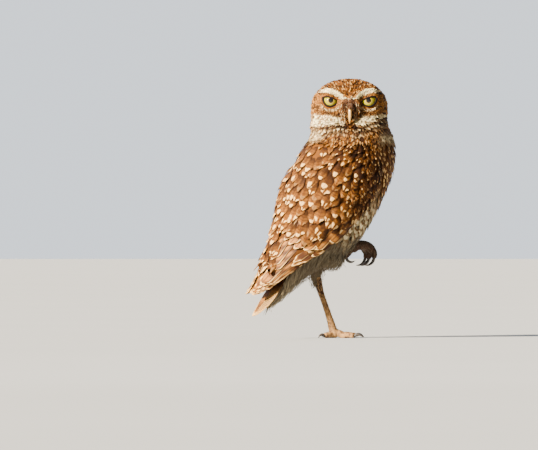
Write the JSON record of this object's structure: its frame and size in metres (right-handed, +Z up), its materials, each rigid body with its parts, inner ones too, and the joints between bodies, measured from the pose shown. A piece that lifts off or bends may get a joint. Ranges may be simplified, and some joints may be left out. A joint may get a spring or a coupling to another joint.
{
  "type": "burrowing owl",
  "caption": "Still life-size burrowing owl standing on one leg, the other foot drawn up and clenched, its head turned back over the shoulder.",
  "frame": {"origin": "under the pad of the standing left foot, on the plane the owl rests on", "axes": "+Z up, -Y the way the breast faces, +X the owl's left"},
  "size_m": [0.0892, 0.1402, 0.2266],
  "materials": {
    "feather_brown": "soft overlapping feathers, brown with buff spots and bars",
    "feather_buff": "soft pale feathering of the thighs",
    "tarsus_skin": "scaly tan skin with sparse dark bristles",
    "claw_horn": "dark polished horn",
    "bill_horn": "pale yellowish horn, satin",
    "eye": "wet yellow iris with a black pupil"
  },
  "bodies": {
    "root": {"torso": "feather_brown", "neck": "feather_brown", "head": "feather_brown", "bill_upper": "bill_horn", "bill_lower": "bill_horn", "eye_left": "eye", "eye_right": "eye", "wing_left": "feather_brown", "wing_right": "feather_brown", "tail": "feather_brown", "thigh_left": "feather_buff", "tarsus_left": "tarsus_skin", "foot_left": "tarsus_skin", "thigh_right": "feather_buff", "tarsus_right": "tarsus_skin", "foot_right": "tarsus_skin", "claw_left_middle": "claw_horn", "claw_left_inner": "claw_horn", "claw_left_outer": "claw_horn", "claw_left_hind": "claw_horn", "claw_right_middle": "claw_horn", "claw_right_inner": "claw_horn", "claw_right_outer": "claw_horn", "claw_right_hind": "claw_horn"}
  },
  "joints": []
}
